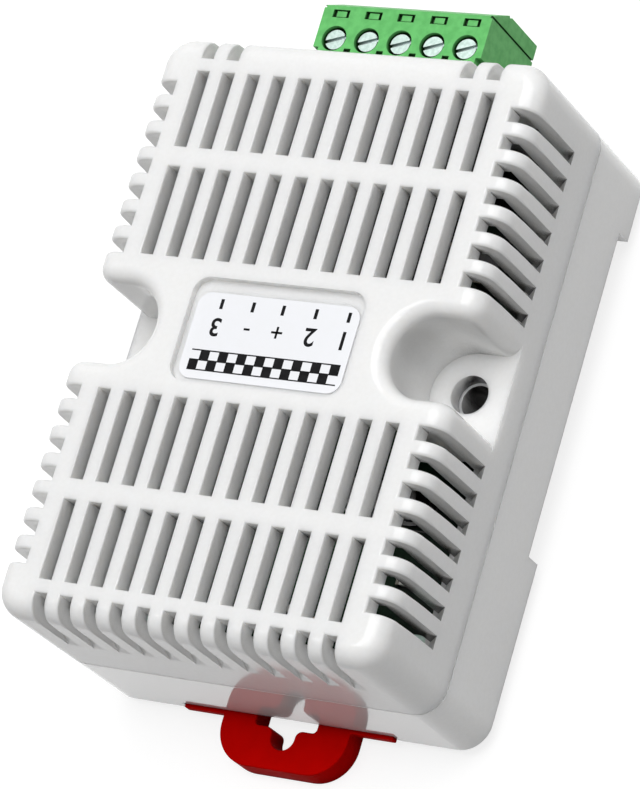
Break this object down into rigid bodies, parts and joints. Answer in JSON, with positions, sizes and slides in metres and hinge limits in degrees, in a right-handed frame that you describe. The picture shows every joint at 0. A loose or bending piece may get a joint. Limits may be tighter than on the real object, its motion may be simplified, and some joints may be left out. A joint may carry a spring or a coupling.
{
  "type": "temperature humidity sensor",
  "caption": "Rail-mounted temperature and humidity sensor: louvred white case on a base with a sliding red rail clip and a plug-in green screw terminal.",
  "frame": {"origin": "midway between the two wall screw holes, on the plane where the rail seats", "axes": "+X across the case, +Y towards the screw terminals, +Z out of the grille face"},
  "size_m": [0.0456, 0.0808, 0.0284],
  "materials": {
    "white_plastic": "moulded, satin to glossy",
    "red_plastic": "moulded, satin",
    "green_plastic": "moulded, satin",
    "label_film": "printed film, satin",
    "board_laminate": "solder mask",
    "zinc_steel": "bright zinc plated",
    "tinned_brass": "tin plated",
    "chip_epoxy": "moulded epoxy",
    "sensor_body": "fine matte",
    "metal_can": "drawn can",
    "fired_ceramic": "fired",
    "light_resin": "clear resin"
  },
  "bodies": {
    "case": {"cover": "white_plastic", "base": "white_plastic", "label": "label_film", "circuit_board": "board_laminate", "board_screws": "zinc_steel", "terminal_header": "green_plastic", "header_pins": "tinned_brass", "humidity_sensor": "sensor_body", "microcontroller": "chip_epoxy", "bus_transceiver": "chip_epoxy", "voltage_regulator": "chip_epoxy", "power_inductor": "chip_epoxy", "crystal": "metal_can", "filter_capacitor": "metal_can", "ceramic_capacitors": "fired_ceramic", "resistors": "chip_epoxy", "protection_diodes": "chip_epoxy", "status_light": "light_resin"},
    "clip": {"rail_clip": "red_plastic"},
    "plug": {"terminal_plug": "green_plastic", "plug_contacts": "tinned_brass"},
    "screw_1": {"terminal_screw_1": "zinc_steel"},
    "screw_2": {"terminal_screw_2": "zinc_steel"},
    "screw_3": {"terminal_screw_3": "zinc_steel"},
    "screw_4": {"terminal_screw_4": "zinc_steel"},
    "screw_5": {"terminal_screw_5": "zinc_steel"},
    "clamp_1": {"wire_clamp_1": "tinned_brass"},
    "clamp_2": {"wire_clamp_2": "tinned_brass"},
    "clamp_3": {"wire_clamp_3": "tinned_brass"},
    "clamp_4": {"wire_clamp_4": "tinned_brass"},
    "clamp_5": {"wire_clamp_5": "tinned_brass"}
  },
  "joints": [
    {"name": "clip_slide", "type": "slide", "parent": "case", "child": "clip", "axis": [0, -1, 0], "range_m": [0, 0.003]},
    {"name": "plug_pull", "type": "slide", "parent": "case", "child": "plug", "axis": [0, 1, 0], "range_m": [0, 0.01]},
    {"name": "screw_1_turn", "type": "hinge", "parent": "plug", "child": "screw_1", "pos_m": [-0.00792, 0.0371, 0.012], "axis": [0, 0, -1], "range_deg": [0, 1080]},
    {"name": "screw_2_turn", "type": "hinge", "parent": "plug", "child": "screw_2", "pos_m": [-0.00396, 0.0371, 0.012], "axis": [0, 0, -1], "range_deg": [0, 1080]},
    {"name": "screw_3_turn", "type": "hinge", "parent": "plug", "child": "screw_3", "pos_m": [0, 0.0371, 0.012], "axis": [0, 0, -1], "range_deg": [0, 1080]},
    {"name": "screw_4_turn", "type": "hinge", "parent": "plug", "child": "screw_4", "pos_m": [0.00396, 0.0371, 0.012], "axis": [0, 0, -1], "range_deg": [0, 1080]},
    {"name": "screw_5_turn", "type": "hinge", "parent": "plug", "child": "screw_5", "pos_m": [0.00792, 0.0371, 0.012], "axis": [0, 0, -1], "range_deg": [0, 1080]},
    {"name": "clamp_1_rise", "type": "slide", "parent": "plug", "child": "clamp_1", "axis": [0, 0, 1], "range_m": [0, 0.0015]},
    {"name": "clamp_2_rise", "type": "slide", "parent": "plug", "child": "clamp_2", "axis": [0, 0, 1], "range_m": [0, 0.0015]},
    {"name": "clamp_3_rise", "type": "slide", "parent": "plug", "child": "clamp_3", "axis": [0, 0, 1], "range_m": [0, 0.0015]},
    {"name": "clamp_4_rise", "type": "slide", "parent": "plug", "child": "clamp_4", "axis": [0, 0, 1], "range_m": [0, 0.0015]},
    {"name": "clamp_5_rise", "type": "slide", "parent": "plug", "child": "clamp_5", "axis": [0, 0, 1], "range_m": [0, 0.0015]}
  ],
  "couplings": [
    {"joint": "screw_1_turn", "follows": "clamp_1_rise", "rad_per_m": 12566},
    {"joint": "screw_2_turn", "follows": "clamp_2_rise", "rad_per_m": 12566},
    {"joint": "screw_3_turn", "follows": "clamp_3_rise", "rad_per_m": 12566},
    {"joint": "screw_4_turn", "follows": "clamp_4_rise", "rad_per_m": 12566},
    {"joint": "screw_5_turn", "follows": "clamp_5_rise", "rad_per_m": 12566}
  ]
}
